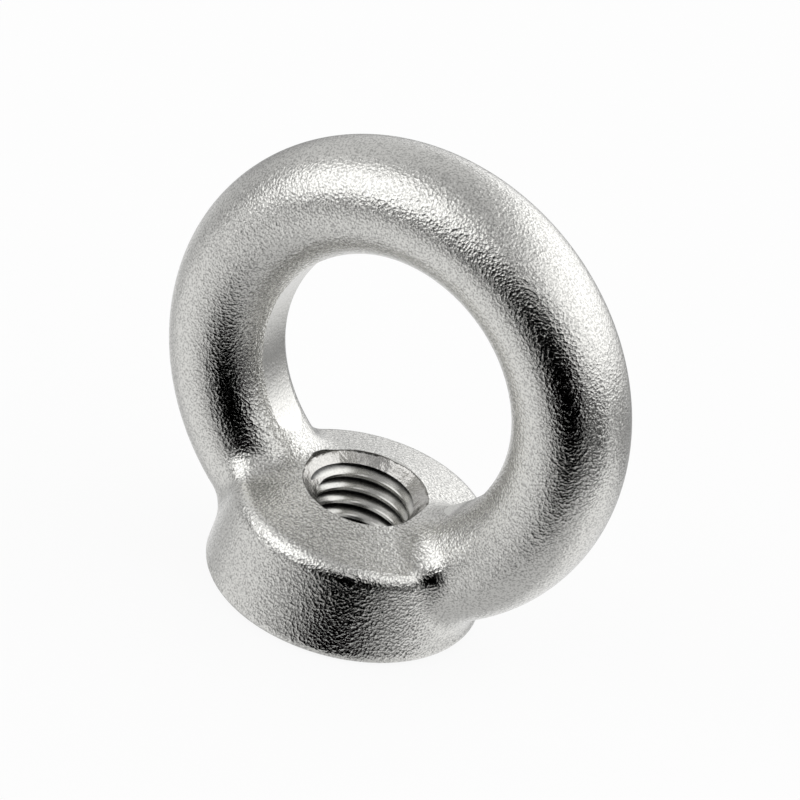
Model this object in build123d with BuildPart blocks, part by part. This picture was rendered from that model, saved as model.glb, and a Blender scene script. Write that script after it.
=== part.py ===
# Lifting eye nut, M12: a forged ring standing on a round foot, with a tapped bore under the ring.
# Origin at the centre of the foot's bottom face, +Z up, ring in the XZ plane, all sizes in millimetres.

import os
from math import radians, sqrt, tan

from build123d import *

# Ring: a round bar, with the forging's flash trimmed off inside, which leaves a narrow flat land
eye_diameter = 30.0
section_diameter = 12.4
trim_depth = 0.4
leg_height = 3.4

# Ends of the land, where the trimming cut leaves the ring's circle and passes over the foot
land_end_rise = 3.0
land_corner_radius = 3.0

# Foot
foot_diameter = 30.3
side_draft = 6.5
nut_height = 12.55
top_slope = 15.5
rim_radius = 2.2
bottom_chamfer = 0.6
root_radius = 4.2

# Mouth: the bore's upper countersink, wider than the thread and off the bore's centre towards the front
mouth_excess = 1.7
mouth_angle = 90.0
mouth_lip = 0.1
mouth_offset = 0.4

# Bore, at the size that the thread's crests leave open, with a countersink at the bottom
thread_diameter = 12.0
thread_pitch = 1.75
bottom_countersink_excess = 0.9
bottom_countersink_angle = 90.0

# The ring stands so low that its outside meets the foot's side at the leg height
eye_radius = eye_diameter / 2
foot_radius = foot_diameter / 2
side_taper = tan(radians(side_draft))
leg_radius = foot_radius - leg_height * side_taper
section_radius = section_diameter / 2
ring_outer_radius = eye_radius - trim_depth + section_diameter
ring_radius = ring_outer_radius - section_radius
ring_centre_height = leg_height + sqrt(ring_outer_radius**2 - leg_radius**2)
ring_axis = Axis((0, 0, ring_centre_height), (0, 1, 0))

# The bore ends in the mouth's cone above and in the bottom countersink's cone below
bore_radius = thread_diameter / 2 - 5 / 8 * sqrt(3) / 2 * thread_pitch
mouth_radius = (thread_diameter + mouth_excess) / 2
mouth_edge = nut_height - mouth_lip
mouth_tip = mouth_edge - mouth_radius / tan(radians(mouth_angle / 2))
bottom_countersink_radius = (thread_diameter + bottom_countersink_excess) / 2
bottom_flare = tan(radians(bottom_countersink_angle / 2))
bore_bottom = (bottom_countersink_radius - bore_radius) / bottom_flare

# The foot's conical top stands at the nut height where the mouth meets it
top_fall = tan(radians(top_slope))
apex_height = nut_height + mouth_radius * top_fall
corner_radius = (foot_radius - apex_height * side_taper) / (1 - top_fall * side_taper)
corner_height = apex_height - corner_radius * top_fall

# The trimming cut follows the eye down to the land's ends
land_end_height = nut_height + land_end_rise
land_end_x = sqrt(eye_radius**2 - (ring_centre_height - land_end_height) ** 2)

with BuildPart() as eye_nut:
    # Foot: a chamfered bottom edge, a side with the forging's draft, a rounded rim and a conical top
    with BuildSketch(Plane.XZ) as foot_outline:
        with BuildLine():
            bottom_corner = (foot_radius, 0)
            rim_corner = (corner_radius, corner_height)
            Polyline((0, 0), bottom_corner, rim_corner, (0, apex_height), close=True)
        make_face()
        corners = foot_outline.vertices().sort_by(Axis.Y)
        fillet(corners[-2], rim_radius)
        chamfer(foot_outline.vertices().sort_by(Axis.X)[-1], bottom_chamfer)
    revolve(axis=Axis.Z)

    # Ring: its lowest part runs through the foot and is cut off flush with the bottom face
    with BuildSketch(Plane.XY.offset(ring_centre_height)):
        with Locations((ring_radius, 0)):
            Circle(section_radius)
    revolve(axis=ring_axis)
    split(bisect_by=Plane.XY, keep=Keep.TOP)

    # Roots: one broad blend round each leg of the ring, where it leaves the foot
    plain_edges = (GeomType.CIRCLE, GeomType.LINE)
    fillet(eye_nut.edges().filter_by(lambda edge: edge.geom_type not in plain_edges), root_radius)

    # Land: the trimming cut follows the ring's inside, and rises over the foot
    with BuildSketch(Plane.XZ):
        with BuildLine():
            left_end = (-land_end_x, land_end_height)
            right_end = (land_end_x, land_end_height)
            RadiusArc(left_end, right_end, -eye_radius, short_sagitta=False)
            ThreePointArc(right_end, (0, nut_height), left_end)
        land_face = make_face()
        fillet(land_face.vertices(), land_corner_radius)
    extrude(amount=foot_radius, both=True, mode=Mode.SUBTRACT)

    # Mouth, cut from the ring's open eye downwards
    with BuildSketch(Plane.XZ.offset(mouth_offset)):
        with BuildLine():
            Polyline(
                (0, mouth_tip),
                (mouth_radius, mouth_edge),
                (mouth_radius, ring_centre_height),
                (0, ring_centre_height),
                close=True,
            )
        make_face()
    revolve(axis=Axis((0, -mouth_offset, 0), (0, 0, 1)), mode=Mode.SUBTRACT)

    # Bore with its bottom countersink
    with BuildSketch(Plane.XZ):
        with BuildLine():
            Polyline(
                (0, 0),
                (bottom_countersink_radius, 0),
                (bore_radius, bore_bottom),
                (bore_radius, ring_centre_height),
                (0, ring_centre_height),
                close=True,
            )
        make_face()
    revolve(axis=Axis.Z, mode=Mode.SUBTRACT)

eye_nut.part.label = "eye_nut"
os.makedirs("parts", exist_ok=True)
export_step(eye_nut.part, "parts/eye_nut.step")
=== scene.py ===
"""Lifting eye nut, M12: a blasted stainless ring on a round foot, with a tapped bore under the ring.

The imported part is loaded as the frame. Its one node is replaced by a finer mesh of the same form,
with the helical thread cut into the bore and a finish on each surface. Sizes are in millimetres
until a mesh is finished, and the frame's X, Y and Z are kept: Z up along the bore, X across the ring.
"""

import logging
import math
from dataclasses import dataclass, field
from enum import Enum
from typing import Any, Callable

import bmesh
import bpy
import numpy as np
from mathutils import Matrix, Vector, noise


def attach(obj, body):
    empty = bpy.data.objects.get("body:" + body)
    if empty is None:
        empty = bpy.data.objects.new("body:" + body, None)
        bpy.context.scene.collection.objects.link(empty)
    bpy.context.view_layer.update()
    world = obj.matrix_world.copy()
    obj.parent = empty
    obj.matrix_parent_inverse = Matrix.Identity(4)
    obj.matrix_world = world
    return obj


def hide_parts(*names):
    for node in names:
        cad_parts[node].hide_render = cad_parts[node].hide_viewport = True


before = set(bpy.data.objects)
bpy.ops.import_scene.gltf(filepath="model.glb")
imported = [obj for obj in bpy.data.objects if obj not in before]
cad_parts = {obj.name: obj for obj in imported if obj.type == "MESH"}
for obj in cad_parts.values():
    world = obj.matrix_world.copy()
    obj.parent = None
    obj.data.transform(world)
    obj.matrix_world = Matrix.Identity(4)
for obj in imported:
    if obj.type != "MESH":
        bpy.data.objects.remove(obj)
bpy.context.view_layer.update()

LOG = logging.getLogger("eye_nut")
MM = 0.001  # metres
MERGE = 1e-4  # corners nearer than this are one, in millimetres
PROBE = 1e-4  # step for the slope of a distance, in millimetres
BACKGROUND_RAYS = ("Is Camera Ray", "Is Glossy Ray", "Is Transmission Ray")


# Meshes


def mesh_object(name: str, bm: bmesh.types.BMesh) -> bpy.types.Object:
    """Turns a bmesh into a linked object and frees it.

    Args:
        name: Name of the object and its mesh.
        bm: The finished bmesh.

    Returns:
        The new object, at the origin.
    """
    mesh = bpy.data.meshes.new(name)
    bm.to_mesh(mesh)
    bm.free()
    obj = bpy.data.objects.new(name, mesh)
    bpy.context.scene.collection.objects.link(obj)
    return obj


def applied(obj: bpy.types.Object) -> bpy.types.Mesh:
    """Works out an object's modifiers.

    Args:
        obj: The object, which keeps its modifiers.

    Returns:
        A new mesh with the modifiers in its faces.
    """
    bpy.context.view_layer.update()
    depsgraph = bpy.context.evaluated_depsgraph_get()
    return bpy.data.meshes.new_from_object(obj.evaluated_get(depsgraph), depsgraph=depsgraph)


def turned(profile: list[tuple[float, float]], steps: int) -> bmesh.types.BMesh:
    """Turns an open outline of (radius, height) points round the Z axis into a closed solid.

    Args:
        profile: The outline, from the axis to the axis.
        steps: Facets in the full turn.

    Returns:
        The solid's bmesh.
    """
    bm = bmesh.new()
    points = [bm.verts.new((radius, 0.0, height)) for radius, height in profile]
    edges = [bm.edges.new(pair) for pair in zip(points, points[1:])]
    bmesh.ops.spin(
        bm,
        geom=points + edges,
        cent=(0, 0, 0),
        axis=(0, 0, 1),
        angle=2 * math.pi,
        steps=steps,
        use_merge=True,
    )
    bmesh.ops.remove_doubles(bm, verts=bm.verts, dist=MERGE)
    bmesh.ops.recalc_face_normals(bm, faces=bm.faces)
    return bm


# Forms


def slope(distance: Callable[[np.ndarray], np.ndarray], p: np.ndarray) -> np.ndarray:
    """Direction in which a distance grows fastest.

    Args:
        distance: Signed distance of points (n, 3).
        p: The points.

    Returns:
        Unit vectors (n, 3).
    """
    steps = np.eye(3) * PROBE
    grad = np.stack([distance(p + step) - distance(p - step) for step in steps], 1)
    return grad / np.maximum(np.linalg.norm(grad, axis=1), 1e-12)[:, None]


def rounded(one: np.ndarray, two: np.ndarray, cosine: float, radius: float) -> np.ndarray:
    """Distance from a solid with two faces that meet in a rounded edge.

    Args:
        one: Signed distance from the first face.
        two: Signed distance from the second face.
        cosine: Cosine of the angle between the faces' normals.
        radius: The edge's radius.

    Returns:
        Signed distance from the solid.
    """
    a, b = one + radius, two + radius
    at_edge = (a > cosine * b) & (b > cosine * a)
    squares = (a**2 + b**2 - 2 * cosine * a * b) / (1 - cosine**2)
    return np.where(at_edge, np.sqrt(np.maximum(squares, 0)) - radius, np.maximum(one, two))


@dataclass
class Ring:
    """The lifting ring: a round bar bent to a full circle in the XZ plane."""

    eye_radius: float = 15.0
    trim_depth: float = 0.4
    section_radius: float = 6.2
    centre_height: float = 26.0
    section_steps: int = 96
    turn_steps: int = 240

    @property
    def bar_radius(self) -> float:
        """Radius of the bar's centre line."""
        return self.eye_radius - self.trim_depth + self.section_radius

    def distance(self, p: np.ndarray) -> np.ndarray:
        """Signed distance of points (n, 3) from the bar's skin above the foot's bottom face."""
        across = np.hypot(p[:, 0], p[:, 2] - self.centre_height) - self.bar_radius
        return np.maximum(np.hypot(across, p[:, 1]) - self.section_radius, -p[:, 2])

    def blank(self) -> bmesh.types.BMesh:
        """Sweeps the bar's section round the eye and cuts it off flush with the foot's bottom.

        Returns:
            The closed ring's bmesh.
        """
        bm = bmesh.new()
        bmesh.ops.create_circle(bm, segments=self.section_steps, radius=self.section_radius)
        place = Matrix.Translation((self.bar_radius, 0, self.centre_height))
        bmesh.ops.transform(bm, matrix=place, verts=bm.verts)
        bmesh.ops.spin(
            bm,
            geom=bm.verts[:] + bm.edges[:],
            cent=(0, 0, self.centre_height),
            axis=(0, 1, 0),
            angle=2 * math.pi,
            steps=self.turn_steps,
            use_merge=True,
        )
        bmesh.ops.remove_doubles(bm, verts=bm.verts, dist=MERGE)
        bmesh.ops.recalc_face_normals(bm, faces=bm.faces)
        cut = bmesh.ops.bisect_plane(
            bm,
            geom=bm.verts[:] + bm.edges[:] + bm.faces[:],
            plane_co=(0, 0, 0),
            plane_no=(0, 0, -1),
            clear_outer=True,
        )
        rim = [e for e in cut["geom_cut"] if isinstance(e, bmesh.types.BMEdge)]
        bmesh.ops.holes_fill(bm, edges=rim, sides=0)
        bmesh.ops.recalc_face_normals(bm, faces=bm.faces)
        return bm


@dataclass
class Foot:
    """The round foot: a side with the forging's draft, a rounded rim and a conical top."""

    radius: float = 15.15
    side_draft: float = math.radians(6.5)
    nut_height: float = 12.55
    mouth_radius: float = 6.85
    top_slope: float = math.radians(15.5)
    rim_radius: float = 2.2
    bottom_edge_radius: float = 0.9
    turn_steps: int = 256

    @property
    def apex_height(self) -> float:
        """Height at which the top's cone would end in a point."""
        return self.nut_height + self.mouth_radius * math.tan(self.top_slope)

    def distance(self, p: np.ndarray) -> np.ndarray:
        """Measures how far points are from the foot's skin.

        Args:
            p: Points (n, 3).

        Returns:
            Signed distances, negative inside.
        """
        rho, z = np.hypot(p[:, 0], p[:, 1]), p[:, 2]
        side = (rho - self.radius) * math.cos(self.side_draft) + z * math.sin(self.side_draft)
        top = (z - self.apex_height) * math.cos(self.top_slope) + rho * math.sin(self.top_slope)
        upper = rounded(side, top, math.sin(self.side_draft + self.top_slope), self.rim_radius)
        lower = rounded(side, -z, -math.sin(self.side_draft), self.bottom_edge_radius)
        return np.maximum(upper, lower)

    def blank(self) -> bmesh.types.BMesh:
        """Turns the foot's outline, with square edges that settling rounds later.

        Returns:
            The closed foot's bmesh.
        """
        taper, fall = math.tan(self.side_draft), math.tan(self.top_slope)
        rim = (self.radius - self.apex_height * taper) / (1 - fall * taper)
        outline = [(0, 0), (self.radius, 0), (rim, self.apex_height - rim * fall), (0, self.apex_height)]
        return turned(outline, self.turn_steps)


@dataclass
class Forging:
    """The forged blank: ring and foot in one skin, with a broad blend round each leg's root."""

    ring: Ring
    foot: Foot
    root_radius: float = 4.2
    cell: float = 0.34
    rounds: int = 3
    roll_steps: int = 12
    bridge_reach: tuple[float, float] = (0.3, 1.6)

    def skin(self) -> bpy.types.Object:
        """Joins ring and foot into one even skin and settles it on the true form.

        Returns:
            The blank, in millimetres.
        """
        bm = self.ring.blank()
        foot = self.foot.blank()
        joint = bpy.data.meshes.new("foot_blank")
        foot.to_mesh(joint)
        foot.free()
        bm.from_mesh(joint)
        bpy.data.meshes.remove(joint)
        blank = mesh_object("forged_blank", bm)
        cells = blank.modifiers.new("cells", "REMESH")
        cells.mode = "VOXEL"
        cells.voxel_size = self.cell
        mesh = applied(blank)
        blank.modifiers.clear()
        blank.data = mesh
        for _ in range(self.rounds):
            self.relax(mesh)
            self.settle(mesh)
        return blank

    def relax(self, mesh: bpy.types.Mesh) -> None:
        """Evens out the cells of a mesh by moving each corner towards its neighbours.

        Args:
            mesh: The mesh to change.
        """
        bm = bmesh.new()
        bm.from_mesh(mesh)
        for _ in range(self.rounds):
            bmesh.ops.smooth_vert(
                bm, verts=bm.verts, factor=0.5, use_axis_x=True, use_axis_y=True, use_axis_z=True
            )
        bm.to_mesh(mesh)
        bm.free()

    def settle(self, mesh: bpy.types.Mesh) -> None:
        """Moves each corner of a mesh onto the blended skin of ring and foot.

        Args:
            mesh: The mesh to change.
        """
        flat = np.zeros(len(mesh.vertices) * 3)
        mesh.vertices.foreach_get("co", flat)
        p = flat.reshape(-1, 3)
        for _ in range(self.rounds):
            d = self.nearest(p)
            p = p - slope(self.nearest, p) * d[:, None]
        near = (self.ring.distance(p) < self.root_radius) & (self.foot.distance(p) < self.root_radius)
        p[near] = self.blended(p[near])
        mesh.vertices.foreach_set("co", p.ravel())
        mesh.update()

    def nearest(self, p: np.ndarray) -> np.ndarray:
        """Signed distance of points from ring and foot together, with no blend."""
        return np.minimum(self.ring.distance(p), self.foot.distance(p))

    def blended(self, p: np.ndarray) -> np.ndarray:
        """Rolls a ball of the root radius between ring and foot, and lays points on its track.

        Args:
            p: Points (n, 3) near both forms.

        Returns:
            The points, moved onto the ball where it bridges the two forms.
        """
        centre = p.copy()
        for _ in range(self.roll_steps):
            a, b = self.ring.distance(centre), self.foot.distance(centre)
            na, nb = slope(self.ring.distance, centre), slope(self.foot.distance, centre)
            cross = (na * nb).sum(1)
            ra = self.root_radius - a - (na * (p - centre)).sum(1)
            rb = self.root_radius - b - (nb * (p - centre)).sum(1)
            span = np.maximum(1 - cross**2, 1e-3)
            wa, wb = (ra - cross * rb) / span, (rb - cross * ra) / span
            centre = p + na * wa[:, None] + nb * wb[:, None]
        bridge = (wa > 0) & (wb > 0)
        away = p - centre
        reach = np.linalg.norm(away, axis=1)
        short, long = self.bridge_reach
        bridge &= (reach > short * self.root_radius) & (reach < long * self.root_radius)
        moved = centre + away / np.maximum(reach, 1e-6)[:, None] * self.root_radius
        return np.where(bridge[:, None], moved, p)


@dataclass
class Trim:
    """The trimming cut through the eye, which leaves a narrow flat land inside the ring."""

    eye_radius: float = 15.0
    centre_height: float = 26.0
    end_height: float = 15.55
    middle_height: float = 12.55
    corner_radius: float = 3.0
    reach: float = 16.0
    eye_steps: int = 180
    corner_steps: int = 12
    low_steps: int = 40

    def cutter(self) -> bpy.types.Object:
        """Draws the cut's outline from arcs and pulls it through the eye.

        Returns:
            The cutter, in millimetres.
        """
        drop = self.centre_height - self.end_height
        end_x = math.sqrt(self.eye_radius**2 - drop**2)
        sag = self.end_height - self.middle_height
        low_radius = (end_x**2 + sag**2) / (2 * sag)
        low_centre = self.middle_height + low_radius
        span = low_centre - self.centre_height
        side, low = self.eye_radius - self.corner_radius, low_radius - self.corner_radius
        height = (side**2 - low**2 + span**2) / (2 * span)
        out = math.sqrt(side**2 - height**2)
        leave, meet = math.atan2(out, height), math.atan2(out, height - span)
        bm = bmesh.new()
        self.arc(bm, (0, self.centre_height), self.eye_radius, -leave, leave, self.eye_steps)
        corner = (out, self.centre_height + height)
        self.arc(bm, corner, self.corner_radius, leave, meet, self.corner_steps)
        self.arc(bm, (0, low_centre), low_radius, meet, 2 * math.pi - meet, self.low_steps)
        self.arc(bm, (-out, corner[1]), self.corner_radius, -meet, -leave, self.corner_steps)
        bmesh.ops.remove_doubles(bm, verts=bm.verts, dist=1e-3)
        bmesh.ops.contextual_create(bm, geom=bm.edges[:])
        pulled = bmesh.ops.extrude_face_region(bm, geom=bm.faces[:])
        far = [g for g in pulled["geom"] if isinstance(g, bmesh.types.BMVert)]
        bmesh.ops.translate(bm, verts=far, vec=(0, 2 * self.reach, 0))
        bmesh.ops.recalc_face_normals(bm, faces=bm.faces)
        return mesh_object("trim_cutter", bm)

    def arc(
        self,
        bm: bmesh.types.BMesh,
        centre: tuple[float, float],
        radius: float,
        start: float,
        end: float,
        steps: int,
    ) -> None:
        """Draws an arc on the cut's near side.

        Args:
            bm: The bmesh that gains the arc.
            centre: The arc's centre (x, z).
            radius: Its radius.
            start: Where it starts, as an angle from straight up towards +X.
            end: Where it ends.
            steps: Number of edges.
        """
        x, z = centre
        first = (x + radius * math.sin(start), -self.reach, z + radius * math.cos(start))
        bmesh.ops.spin(
            bm,
            geom=[bm.verts.new(first)],
            cent=(x, -self.reach, z),
            axis=(0, 1, 0),
            angle=end - start,
            steps=steps,
        )


@dataclass
class Mouth:
    """The bore's rough countersunk mouth in the foot's top, a little off the bore's centre."""

    radius: float = 6.85
    edge_height: float = 12.45
    slope: float = math.radians(45)
    offset: float = 0.4
    clear_height: float = 26.0
    turn_steps: int = 260
    roughness: float = 0.07
    grain_mm: float = 0.7
    swell_mm: float = 2.5
    swell_share: float = 0.6
    smooth_radius: float = 4.0
    cone_start: float = 4.2
    cone_rings: int = 14
    wall_step: float = 0.25

    def cutter(self) -> bpy.types.Object:
        """Turns the mouth and roughens its cone.

        Returns:
            The cutter, in millimetres.
        """
        fall = math.tan(self.slope)
        cone = [
            (radius, self.edge_height - (self.radius - radius) * fall)
            for radius in np.linspace(self.cone_start, self.radius, self.cone_rings).tolist()
        ]
        wall = [(self.radius, self.edge_height + self.wall_step * step) for step in range(1, 4)]
        outline = [
            (0, self.edge_height - self.radius * fall),
            *cone,
            *wall,
            (self.radius, self.clear_height),
            (0, self.clear_height),
        ]
        bm = turned(outline, self.turn_steps)
        for corner in bm.verts:
            out = Vector((corner.co.x, corner.co.y, 0))
            if out.length > self.smooth_radius and corner.co.z < self.clear_height - 1:
                grain = noise.noise(corner.co / self.grain_mm)
                swell = noise.noise(corner.co / self.swell_mm) * self.swell_share
                corner.co += out.normalized() * (grain + swell) * self.roughness
        bmesh.ops.translate(bm, verts=bm.verts, vec=(0, -self.offset, 0))
        return mesh_object("mouth_cutter", bm)


@dataclass
class Bore:
    """The through bore with its countersink below and a right-hand M12 thread."""

    thread_radius: float = 6.0
    pitch: float = 1.75
    low_mouth_radius: float = 6.45
    clear_height: float = 26.0
    groove_height: float = 10.534
    turns_below: int = 8
    turns_above: int = 2
    flank_angle: float = math.radians(30)
    turn_steps: int = 160
    groove_steps: int = 96

    @property
    def crest_radius(self) -> float:
        """Radius that the thread's crests leave open."""
        return self.thread_radius - 5 / 8 * math.sqrt(3) / 2 * self.pitch

    def plain_cutter(self) -> bpy.types.Object:
        """Turns the bore and its countersink.

        Returns:
            The cutter, in millimetres.
        """
        r = self.crest_radius
        low = self.low_mouth_radius - r
        outline = [
            (0, -1.0),
            (self.low_mouth_radius + 1.0, -1.0),
            (r, low),
            (r, self.clear_height),
            (0, self.clear_height),
        ]
        return mesh_object("bore_cutter", turned(outline, self.turn_steps))

    def thread_cutter(self) -> bpy.types.Object:
        """Winds the groove's section up the bore.

        Returns:
            The cutter, in millimetres.
        """
        tip_half = self.pitch / 16
        flank_end = self.crest_radius + 0.15
        flank_half = tip_half + (self.thread_radius - flank_end) * math.tan(self.flank_angle)
        start = self.groove_height - self.turns_below * self.pitch
        # Half of the groove's section, from its rounded floor over the flank to the rounded crest
        upper = [
            (self.thread_radius + 0.04, tip_half * 0.4),
            (self.thread_radius - 0.05, tip_half + 0.03),
            (flank_end, flank_half),
            (self.crest_radius + 0.04, flank_half + 0.12),
            (self.crest_radius - 0.12, self.pitch / 2 - 0.02),
        ]
        section = [(r, -h) for r, h in reversed(upper)] + upper
        bm = bmesh.new()
        points = [bm.verts.new((r, 0, start + h)) for r, h in section]
        face = bm.faces.new(points)
        turns = self.turns_below + self.turns_above
        steps = turns * self.groove_steps
        bmesh.ops.spin(
            bm,
            geom=[face],
            cent=(0, 0, 0),
            axis=(0, 0, 1),
            dvec=(0, 0, turns * self.pitch / steps),
            angle=2 * math.pi * turns,
            steps=steps,
        )
        bmesh.ops.recalc_face_normals(bm, faces=bm.faces)
        return mesh_object("thread_cutter", bm)


class Surface(Enum):
    """Kinds of surface on the nut, in the order of its material slots."""

    SKIN = 0
    TRIMMED = 1
    MOUTH = 2
    MACHINED = 3


@dataclass
class EyeNut:
    """The whole nut: the forged blank with its land, mouth, bore and thread cut.

    An edge between two faces of one finish is crisp from crisp_angle on, or from rough_angle on
    where the finish is rough.
    """

    forging: Forging = field(default_factory=lambda: Forging(Ring(), Foot()))
    trim: Trim = field(default_factory=Trim)
    mouth: Mouth = field(default_factory=Mouth)
    bore: Bore = field(default_factory=Bore)
    crisp_angle: float = 0.42
    rough_angle: float = 0.8

    def build(self, finishes: dict[Surface, bpy.types.Material]) -> bpy.types.Object:
        """Makes the nut's mesh in metres.

        Args:
            finishes: The material of each kind of surface.

        Returns:
            The nut, at the origin.
        """
        nut = self.forging.skin()
        nut.name = nut.data.name = "lifting_eye_nut"
        nut.data.materials.clear()
        nut.data.materials.append(finishes[Surface.SKIN])
        LOG.info("forged skin: %d faces", len(nut.data.polygons))
        cuts = [
            (self.trim.cutter(), Surface.TRIMMED),
            (self.mouth.cutter(), Surface.MOUTH),
            (self.bore.plain_cutter(), Surface.MACHINED),
            (self.bore.thread_cutter(), Surface.MACHINED),
        ]
        for cutter, surface in cuts:
            cutter.data.materials.append(finishes[surface])
            cut = nut.modifiers.new(cutter.name, "BOOLEAN")
            cut.operation = "DIFFERENCE"
            cut.solver = "EXACT"
            cut.material_mode = "TRANSFER"
            cut.object = cutter
        mesh = applied(nut)
        nut.modifiers.clear()
        nut.data = mesh
        for cutter, _ in cuts:
            bpy.data.objects.remove(cutter)
        self.finish_edges(mesh)
        LOG.info("cut nut: %d faces", len(mesh.polygons))
        return nut

    def finish_edges(self, mesh: bpy.types.Mesh) -> None:
        """Brings the mesh to metres, and keeps only the real edges crisp.

        Args:
            mesh: The cut mesh, in millimetres.
        """
        bm = bmesh.new()
        bm.from_mesh(mesh)
        bmesh.ops.dissolve_degenerate(bm, edges=bm.edges, dist=MERGE)
        for corner in bm.verts:
            corner.co.z = max(corner.co.z, 0.0)
        bmesh.ops.scale(bm, vec=(MM, MM, MM), verts=bm.verts)
        for face in bm.faces:
            face.smooth = True
        rough = (Surface.SKIN.value, Surface.MOUTH.value)
        for edge in bm.edges:
            if len(edge.link_faces) != 2:
                continue
            one, two = edge.link_faces
            same = one.material_index == two.material_index
            limit = self.rough_angle if one.material_index in rough else self.crisp_angle
            edge.smooth = same and edge.calc_face_angle(0) < limit
        bm.to_mesh(mesh)
        bm.free()


# Materials


class Socket:
    """A shader value that Python operators turn into Math nodes."""

    def __init__(self, graph: "Graph", link: bpy.types.NodeSocket) -> None:
        """Wraps a node's output socket."""
        self.graph = graph
        self.link = link

    def _math(self, operation: str, *values: Any) -> "Socket":
        """Adds a Math node on these values."""
        return self.graph.add("ShaderNodeMath", {"operation": operation}, dict(enumerate(values)))

    def __add__(self, other: Any) -> "Socket":
        """self + other."""
        return self._math("ADD", self, other)

    __radd__ = __add__

    def __sub__(self, other: Any) -> "Socket":
        """self - other."""
        return self._math("SUBTRACT", self, other)

    def __rsub__(self, other: Any) -> "Socket":
        """other - self."""
        return self._math("SUBTRACT", other, self)

    def __mul__(self, other: Any) -> "Socket":
        """self * other."""
        return self._math("MULTIPLY", self, other)

    __rmul__ = __mul__

    def clamp(self) -> "Socket":
        """The value held between 0 and 1."""
        node = self._math("ADD", self, 0.0)
        node.link.node.use_clamp = True
        return node

    def between(self, low: float, high: float) -> "Socket":
        """Smooth step of the value.

        Args:
            low: Where the step starts, at 0.
            high: Where it ends, at 1.

        Returns:
            A value from 0 to 1.
        """
        return self.graph.add(
            "ShaderNodeMapRange",
            {"interpolation_type": "SMOOTHSTEP"},
            {"Value": self, "From Min": low, "From Max": high, "To Min": 0.0, "To Max": 1.0},
        )


class Graph:
    """Node tree of one material or world."""

    def __init__(self, tree: bpy.types.NodeTree) -> None:
        """Empties a node tree and keeps it."""
        self.tree = tree
        tree.nodes.clear()

    def add(
        self,
        kind: str,
        settings: dict[str, Any] | None = None,
        values: dict[Any, Any] | None = None,
        output: str | int = 0,
    ) -> Socket:
        """Adds one node.

        Args:
            kind: The node's type.
            settings: Attributes of the node, set first.
            values: Number, colour or Socket for each input, by name or place.
            output: Name or place of the output that is wanted.

        Returns:
            That output.
        """
        node = self.tree.nodes.new(kind)
        for name, value in (settings or {}).items():
            setattr(node, name, value)
        for name, value in (values or {}).items():
            if isinstance(value, Socket):
                self.tree.links.new(value.link, node.inputs[name])
            else:
                node.inputs[name].default_value = value
        if not len(node.outputs):
            return Socket(self, None)
        return Socket(self, node.outputs[output])

    def place(self) -> Socket:
        """Object coordinates, in metres."""
        return self.add("ShaderNodeTexCoord", output="Object")

    def dents(self, at: Socket, size_mm: float) -> Socket:
        """Distance from the middle of the nearest dent, 0 in its middle and about 0.7 at its rim.

        Args:
            at: Coordinates in metres.
            size_mm: Spacing of the dents.

        Returns:
            The distance, in dents.
        """
        return self.add(
            "ShaderNodeTexVoronoi",
            {"voronoi_dimensions": "3D", "feature": "F1"},
            {"Vector": at, "Scale": 1 / (size_mm * MM)},
            output="Distance",
        )

    def seen_by(self, *rays: str) -> Socket:
        """Tells some kinds of ray from the others.

        Args:
            rays: Outputs of the Light Path node.

        Returns:
            1 for a ray of one of these kinds, and 0 for any other.
        """
        first, *others = (self.add("ShaderNodeLightPath", output=ray) for ray in rays)
        return sum(others, first).clamp()

    def groove(self, at: Socket) -> Socket:
        """Where shade is painted into the thread's grooves: up to 1 deep in a groove, 0 on the crests and
        in the bottom countersink.

        Args:
            at: Coordinates in metres.

        Returns:
            A value from 0 to 1.
        """
        flat = self.add("ShaderNodeVectorMath", {"operation": "MULTIPLY"}, {0: at, 1: (1, 1, 0)})
        radius = self.add("ShaderNodeVectorMath", {"operation": "LENGTH"}, {0: flat}, output="Value")
        height = self.add("ShaderNodeSeparateXYZ", None, {0: at}, output="Z")
        in_groove = radius.between(5.35 * MM, 5.95 * MM)
        above_countersink = height.between(1.2 * MM, 1.8 * MM)
        return in_groove * above_countersink

    def noise(self, at: Socket, size_mm: float, detail: float = 2.0, roughness: float = 0.5) -> Socket:
        """Noise with features of about a size.

        Args:
            at: Coordinates in metres.
            size_mm: Size of the features.
            detail: Octaves added.
            roughness: How strong the finer octaves are.

        Returns:
            A value near 0.5.
        """
        return self.add(
            "ShaderNodeTexNoise",
            {"noise_dimensions": "3D"},
            {"Vector": at, "Scale": 1 / (size_mm * MM), "Detail": detail, "Roughness": roughness},
        )


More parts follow.
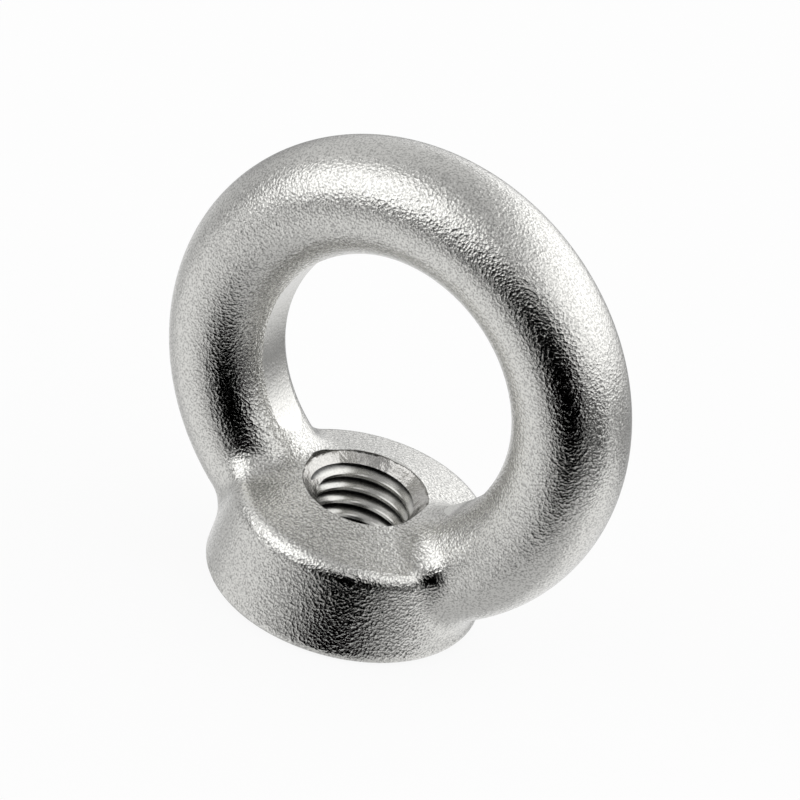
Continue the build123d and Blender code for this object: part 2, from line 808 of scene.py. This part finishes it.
@dataclass(frozen=True)
class Steel:
    """A stainless surface: its colour, its gloss, the dents and grain that blasting leaves, and dark
    specks of painted shade for its blast pits.
    """

    name: str
    colour: tuple[float, float, float] = (0.71, 0.705, 0.68)
    pit_shade_colour: tuple[float, float, float] = (0.30, 0.30, 0.29)
    pit_shade_share: float = 0.6
    pit_shade_mm: float = 0.22
    roughness: float = 0.12
    dent_mm: float = 0.32
    dent_depth: float = 0.042
    grain_mm: float = 0.14
    grain_depth: float = 0.03
    swell_mm: float = 1.6
    swell_depth: float = 0.03
    tone_mm: float = 3.0
    tone_depth: float = 0.08
    # Share of painted shade deep in the thread's grooves
    groove_shade: float = 0.0

    def material(self) -> bpy.types.Material:
        """Builds the surface's nodes.

        Returns:
            The material.
        """
        material = bpy.data.materials.new(self.name)
        material.use_nodes = True
        graph = Graph(material.node_tree)
        at = graph.place()
        dent = graph.dents(at, self.dent_mm)
        grain = graph.noise(at, self.grain_mm, 1.0)
        swell = graph.noise(at, self.swell_mm, 1.0)
        height = dent * dent * self.dent_depth + grain * self.grain_depth + swell * self.swell_depth
        normal = graph.add("ShaderNodeBump", None, {"Strength": 1.0, "Distance": MM, "Height": height})
        # Dark specks of painted shade, standing in for the shade inside blast pits
        painted_shade = graph.noise(at, self.pit_shade_mm, 1.0).between(0.45, 0.64) * self.pit_shade_share
        # Painted shade deep in the thread's grooves, mixed in with the pit specks
        if self.groove_shade:
            painted_shade = painted_shade + graph.groove(at) * self.groove_shade
        tone = graph.noise(at, self.tone_mm)
        rough = tone * self.tone_depth + (self.roughness - self.tone_depth / 2)
        colour = graph.add(
            "ShaderNodeMix",
            {"data_type": "RGBA"},
            {0: painted_shade, 6: (*self.colour, 1.0), 7: (*self.pit_shade_colour, 1.0)},
            output=2,
        )
        shader = graph.add(
            "ShaderNodeBsdfPrincipled",
            None,
            {"Base Color": colour, "Metallic": 1.0, "Roughness": rough, "Normal": normal},
        )
        graph.add("ShaderNodeOutputMaterial", None, {"Surface": shader})
        return material


# Studio


@dataclass(frozen=True)
class Glow:
    """A soft box or a dark flag round the object: its direction, its width and its level.

    Angles are in degrees. Azimuth 0 is the front and 90 the right. The patch is full up to the inner
    angle from its middle and gone at the outer one.
    """

    azimuth: float
    elevation: float
    inner: float
    outer: float
    level: float


@dataclass
class Studio:
    """The pale floor, the surroundings and the camera."""

    background: float = 1.0
    dimmed: float = 0.56
    glows: tuple[Glow, ...] = (
        Glow(-25, -36, 77, 86, 0.62),
        Glow(-42, 24, 30, 56, 0.09),
        Glow(178, 50, 65, 95, 0.16),
        Glow(-45, 30, 31, 39, 1.59),
        Glow(116, 50, 39, 49, 1.30),
        Glow(180, 46, 29, 74, 1.64),
        Glow(-128, 41, 38, 46, 0.73),
        Glow(29, -4, 31, 39, 0.0),
        Glow(82, -6, 14, 22, 0.08),
        Glow(-73, 86, 1, 43, 0.53),
        Glow(-58, -42, 27, 35, 0.93),
    )
    camera_azimuth: float = 22.591
    camera_elevation: float = 31.631
    camera_roll: float = 15.457
    camera_distance: float = 0.520
    camera_target: tuple[float, float, float] = (0.000938, 0.000046, 0.024139)
    focal_length: float = 223.376
    floor_size: float = 3.0
    floor_white: float = 0.9

    def build(self) -> None:
        """Sets up floor, surroundings, camera and view."""
        self.floor()
        self.surroundings()
        self.camera()
        bpy.context.scene.view_settings.view_transform = "Standard"

    def floor(self) -> None:
        """Lays a plain pale floor under the nut."""
        bm = bmesh.new()
        bmesh.ops.create_grid(bm, x_segments=1, y_segments=1, size=self.floor_size)
        floor = mesh_object("floor", bm)
        material = bpy.data.materials.new("pale_floor")
        material.use_nodes = True
        graph = Graph(material.node_tree)
        seen = graph.seen_by(*BACKGROUND_RAYS)
        matt = graph.add("ShaderNodeBsdfDiffuse", None, {"Color": (0.9, 0.9, 0.9, 1)})
        white = graph.add("ShaderNodeEmission", None, {"Color": (1, 1, 1, 1), "Strength": 1.0})
        mixed = graph.add("ShaderNodeMixShader", None, {0: seen * self.floor_white, 1: matt, 2: white})
        graph.add("ShaderNodeOutputMaterial", None, {"Surface": mixed})
        floor.data.materials.append(material)
        floor.visible_glossy = False

    def surroundings(self) -> None:
        """Paints a white studio round the object.

        The background is white where it is seen directly, in metal or through glass, and dimmed for
        other rays. The soft boxes and flags on it aren't seen by the camera.
        """
        world = bpy.data.worlds.new("studio")
        world.use_nodes = True
        bpy.context.scene.world = world
        graph = Graph(world.node_tree)
        look = graph.add("ShaderNodeTexCoord", output="Generated")  # a ray's direction, in a world
        direct = graph.seen_by("Is Camera Ray")
        shown = graph.seen_by(*BACKGROUND_RAYS)
        level = shown * (self.background - self.dimmed) + self.dimmed
        for glow in self.glows:
            azimuth, elevation = math.radians(glow.azimuth), math.radians(glow.elevation)
            towards = (
                math.sin(azimuth) * math.cos(elevation),
                -math.cos(azimuth) * math.cos(elevation),
                math.sin(elevation),
            )
            facing = graph.add(
                "ShaderNodeVectorMath",
                {"operation": "DOT_PRODUCT"},
                {0: look, 1: towards},
                output="Value",
            )
            patch = facing.between(math.cos(math.radians(glow.outer)), math.cos(math.radians(glow.inner)))
            level = level + patch * (1.0 - direct) * (glow.level - level)
        white = graph.add("ShaderNodeBackground", None, {"Color": (1, 1, 1, 1), "Strength": level})
        graph.add("ShaderNodeOutputWorld", None, {"Surface": white})

    def camera(self) -> None:
        """Puts the camera at the photograph's viewing angle."""
        a, e = math.radians(self.camera_azimuth), math.radians(self.camera_elevation)
        back = Vector((math.sin(a) * math.cos(e), -math.cos(a) * math.cos(e), math.sin(e)))
        right = Vector((math.cos(a), math.sin(a), 0))
        up = back.cross(right)
        roll = math.radians(self.camera_roll)
        right, up = (
            right * math.cos(roll) + up * math.sin(roll),
            up * math.cos(roll) - right * math.sin(roll),
        )
        data = bpy.data.cameras.new("camera")
        data.sensor_width = 36.0
        data.lens = self.focal_length
        data.clip_start, data.clip_end = 0.01, 20.0
        camera = bpy.data.objects.new("camera", data)
        place = Vector(self.camera_target) + back * self.camera_distance
        turn = Matrix((right, up, back)).transposed()
        camera.matrix_world = Matrix.Translation(place) @ turn.to_4x4()
        bpy.context.scene.collection.objects.link(camera)
        bpy.context.scene.camera = camera


def main() -> None:
    """Builds the nut and its studio, and reports each piece."""
    logging.basicConfig(level=logging.INFO, format="%(name)s: %(message)s")
    finishes = {
        Surface.SKIN: Steel("blasted_skin").material(),
        Surface.TRIMMED: Steel(
            "trimmed_land", pit_shade_share=0.2, roughness=0.2, dent_depth=0.015, grain_depth=0.012
        ).material(),
        Surface.MOUTH: Steel(
            "cut_mouth",
            colour=(0.56, 0.55, 0.53),
            pit_shade_share=0.3,
            roughness=0.2,
            dent_depth=0.02,
            grain_depth=0.02,
        ).material(),
        Surface.MACHINED: Steel(
            "machined_bore",
            colour=(0.6, 0.595, 0.57),
            # Near-black painted shade, deep in the thread's grooves and in the pit specks
            pit_shade_colour=(0.05, 0.05, 0.05),
            pit_shade_share=0.1,
            roughness=0.2,
            dent_depth=0.0,
            grain_depth=0.004,
            groove_shade=0.95,
        ).material(),
    }
    nut = EyeNut().build(finishes)
    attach(nut, "root")
    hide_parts("eye_nut")
    LOG.info("lifting eye nut: %d faces", len(nut.data.polygons))
    Studio().build()
    LOG.info("studio ready")


if __name__ == "__main__":
    main()
